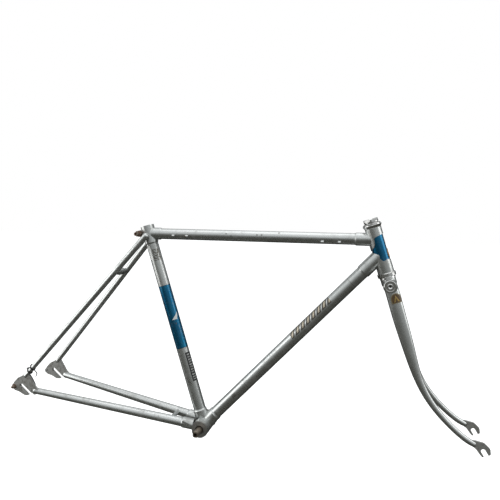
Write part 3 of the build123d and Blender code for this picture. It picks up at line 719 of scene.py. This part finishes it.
# cable ties round the right seat stay
tieNylon = {"colour": tint(0.012, 0.012, 0.013), "chalk": tint(0.10, 0.10, 0.095)}
stay = {"foot": (-0.437, -0.0662, 0.099), "top": (-0.143, -0.0225, 0.447), "radius": 0.0060, "swell": 0.0033}
stayFoot = Vector(stay["foot"])
stayUp = (Vector(stay["top"]) - stayFoot).normalized()
stayOut = stayUp.cross(leftward).normalized()  # forward and down
stayAcross = stayUp.cross(stayOut)
ties = {
    "upperCableTie": {
        "node": "upper_cable_tie", "distance": 0.026, "turn": -35,
        "tail": [(-0.412, -0.069, 0.116), (-0.403, -0.070, 0.1085), (-0.4085, -0.070, 0.0985)],
    },
    "lowerCableTie": {
        "node": "lower_cable_tie", "distance": 0.015, "turn": -20,
        "tail": [(-0.424, -0.071, 0.106), (-0.418, -0.071, 0.099), (-0.407, -0.071, 0.081)],
    },
}
tieSize = {
    "gap": 0.00022, "thick": 0.0011, "half": 0.0018, "rib": 0.0001, "steps": 48,
    "head": (0.0046, 0.0050, 0.0040), "round": 0.0006,
    "tailHalf": 0.0011, "tailThick": 0.0004, "tailSteps": 8, "tailSmoothings": 6, "tailTwist": 0.25,
    "tipFrom": 0.8, "tipTaper": 3.2,
}


def nylonMaterial():
    finish = Finish("tieNylon")
    dust = finish.noise(600, 4, 0.6)
    tone = finish.mixed(tieNylon["colour"], tieNylon["chalk"], dust.over(0.6, 0.2) * 0.5)
    ribs = finish.noise(2200, 1, 0.5)
    finish.surface({}, {"Base Color": tone, "Roughness": 0.42 + dust * 0.2}, ribs * 0.3, 0.0001)
    return finish.material


def tieBand(shape, middle, inner):
    # flat strap with fine ribs, closed round the stay
    half, thick = tieSize["half"], tieSize["thick"]
    loops = []
    for step in range(tieSize["steps"]):
        turn = 2 * math.pi * step / tieSize["steps"]
        out = stayOut * math.cos(turn) + stayAcross * math.sin(turn)
        crown = thick - tieSize["rib"] * (step % 2)
        corners = [(-half, 0), (half, 0), (half, thick * 0.6), (half * 0.8, crown)]
        corners += [(-half * 0.8, crown), (-half, thick * 0.6)]
        spots = [middle + stayUp * along + out * (inner + rise) for along, rise in corners]
        loops.append([shape.verts.new(spot) for spot in spots])
    joinLoops(shape, loops)


def tieHead(shape, middle, out):
    # square lock with rounded corners
    across = stayUp.cross(out)
    long, wide, tall = tieSize["head"]
    block = bmesh.ops.create_cube(shape, size=1.0)["verts"]
    for vert in block:
        along, aside, rise = vert.co
        vert.co = middle + stayUp * (along * long) + across * (aside * wide) + out * (rise * tall)
    edges = list({edge for vert in block for edge in vert.link_edges})
    bmesh.ops.bevel(shape, geom=edges, offset=tieSize["round"], segments=3, affect="EDGES")


def tieTail(shape, points):
    # flat strip that narrows to its tip
    steps = tieSize["tailSteps"]
    line = []
    for here, there in zip(points, points[1:]):
        line += [here.lerp(there, step / steps) for step in range(steps)]
    line.append(points[-1])
    for smoothing in range(tieSize["tailSmoothings"]):
        inside = [(line[i - 1] + line[i] * 2 + line[i + 1]) / 4 for i in range(1, len(line) - 1)]
        line = [line[0]] + inside + [line[-1]]
    loops = []
    for place, point in enumerate(line):
        way = (line[min(place + 1, len(line) - 1)] - line[max(place - 1, 0)]).normalized()
        wide = way.cross(leftward).normalized().lerp(leftward, tieSize["tailTwist"]).normalized()
        flat = way.cross(wide).normalized()
        tip = max(place / (len(line) - 1) - tieSize["tipFrom"], 0)
        half = tieSize["tailHalf"] * (1 - tip * tieSize["tipTaper"])
        thick = tieSize["tailThick"]
        corners = [(half, thick), (-half, thick), (-half, -thick), (half, -thick)]
        loops.append([shape.verts.new(point + wide * a + flat * b) for a, b in corners])
    joinLoops(shape, loops, closed=False)
    shape.faces.new(loops[0])
    shape.faces.new(loops[-1])


def tieMesh(name, tie):
    shape = bmesh.new()
    middle = stayFoot + stayUp * tie["distance"]
    inner = stay["radius"] + stay["swell"] * tie["distance"] + tieSize["gap"]
    turn = math.radians(tie["turn"])
    out = stayOut * math.cos(turn) + stayAcross * math.sin(turn)
    lock = middle + out * (inner + tieSize["head"][2] / 2)
    tieBand(shape, middle, inner)
    tieHead(shape, lock, out)
    tieTail(shape, [lock] + [Vector(point) for point in tie["tail"]])
    return finishMesh(name, shape, smooth=False)


nylon = nylonMaterial()
for tieName, tie in ties.items():
    piece = addPiece(tieName, tieMesh(tieName, tie), nylon, "frame")
    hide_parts(tie["node"])
print("cable ties made")

studio = {
    "floorBelow": 0.26, "floorReach": 14.0, "floorGlow": 0.50,
    "floor": tint(0.93, 0.93, 0.92), "floorShade": tint(0.90, 0.90, 0.895),
    "backdrop": tint(1.0, 1.0, 1.0),
    "stops": [  # from straight down to straight up
        (0.28, tint(0.066, 0.066, 0.056)), (0.42, tint(0.125, 0.127, 0.115)),
        (0.485, tint(0.17, 0.174, 0.165)), (0.51, tint(0.33, 0.34, 0.34)),
        (0.61, tint(0.46, 0.48, 0.48)), (0.73, tint(0.88, 0.91, 0.92)), (1.0, tint(1.00, 1.02, 1.04)),
    ],
    "behind": {"from": 0.20, "soft": 0.4, "upTo": 0.70, "dim": 0.58},  # a dark wall low down behind
}


def buildFloor():
    shape = bmesh.new()
    low = cadBox[0].z - studio["floorBelow"]
    reach = studio["floorReach"]
    corners = [(-reach, -reach), (reach, -reach), (reach, reach), (-reach, reach)]
    shape.faces.new([shape.verts.new((x, y, low)) for x, y in corners])
    floor = bpy.data.objects.new("floor", finishMesh("floor", shape, smooth=False))
    bpy.context.scene.collection.objects.link(floor)
    finish = Finish("floorCard")
    paper = finish.noise(3, 3, 0.5)
    tone = finish.mixed(studio["floor"], studio["floorShade"], paper)
    glow = {"Roughness": 0.9, "Emission Color": tint(1, 1, 1), "Emission Strength": studio["floorGlow"]}
    finish.surface(glow, {"Base Color": tone}, paper, 0.0001)
    floor.data.materials.append(finish.material)
    floor.visible_glossy = False  # the tubes' undersides stay dark
    floor.visible_diffuse = False


def buildWorld():
    world = bpy.data.worlds.new("studioWorld")
    bpy.context.scene.world = world
    world.use_nodes = True
    graph = Graph(world.node_tree)
    direction = graph.node("TexCoord", out="Generated")
    height = graph.node("SeparateXYZ", None, {0: direction}, out="Z")
    back = graph.node("SeparateXYZ", None, {0: direction}, out="Y")
    rise = graph.node("MapRange", None, {"Value": height, "From Min": -1.0, "From Max": 1.0})
    sky = graph.node("ValToRGB", {"stops": studio["stops"]}, {0: rise})
    wall = studio["behind"]
    dim = back.over(wall["from"], wall["soft"]) * (1 - height.over(wall["upTo"], wall["upTo"])) * wall["dim"]
    lit = graph.node("Background", None, {"Color": sky, "Strength": 1 - dim})
    plain = graph.node("Background", None, {"Color": studio["backdrop"]})
    seen = graph.node("LightPath", out="Is Camera Ray")
    graph.node("OutputWorld", None, {"Surface": graph.node("MixShader", None, {0: seen, 1: lit, 2: plain})})


softboxes = {
    "keySoftbox": {"from": (1.8, 0.05, 0.85), "size": (1.0, 1.6), "power": 6.5},
    "fillSoftbox": {"from": (-1.5, -0.4, 0.22), "size": (1.4, 1.2), "power": 8.5},
    "topSoftbox": {"from": (-0.2, 0.1, 2.3), "size": (2.6, 1.4), "power": 8},
}


def buildLights():
    middle = (cadBox[0] + cadBox[1]) / 2
    for name, box in softboxes.items():
        light = bpy.data.lights.new(name, "AREA")
        light.shape = "RECTANGLE"
        light.size, light.size_y = box["size"]
        light.energy = box["power"]
        lamp = bpy.data.objects.new(name, light)
        bpy.context.scene.collection.objects.link(lamp)
        lamp.location = middle + Vector(box["from"])
        lamp.rotation_euler = (-Vector(box["from"])).to_track_quat("-Z", "Y").to_euler()


camera = {
    "place": (0.3685, -1.1440, 0.5062),
    "turn": (85.861, -0.984, 13.022),
    "lens": 36.917,
    "sensor": 36.0,
}


def buildCamera():
    data = bpy.data.cameras.new("camera")
    data.lens = camera["lens"]
    data.sensor_width = camera["sensor"]
    data.clip_start, data.clip_end = 0.05, 60
    eye = bpy.data.objects.new("camera", data)
    bpy.context.scene.collection.objects.link(eye)
    eye.location = camera["place"]
    eye.rotation_euler = Euler([math.radians(angle) for angle in camera["turn"]])
    bpy.context.scene.camera = eye


buildFloor()
buildWorld()
buildLights()
buildCamera()
bpy.context.scene.view_settings.view_transform = "Standard"
print("stage, light and camera ready")
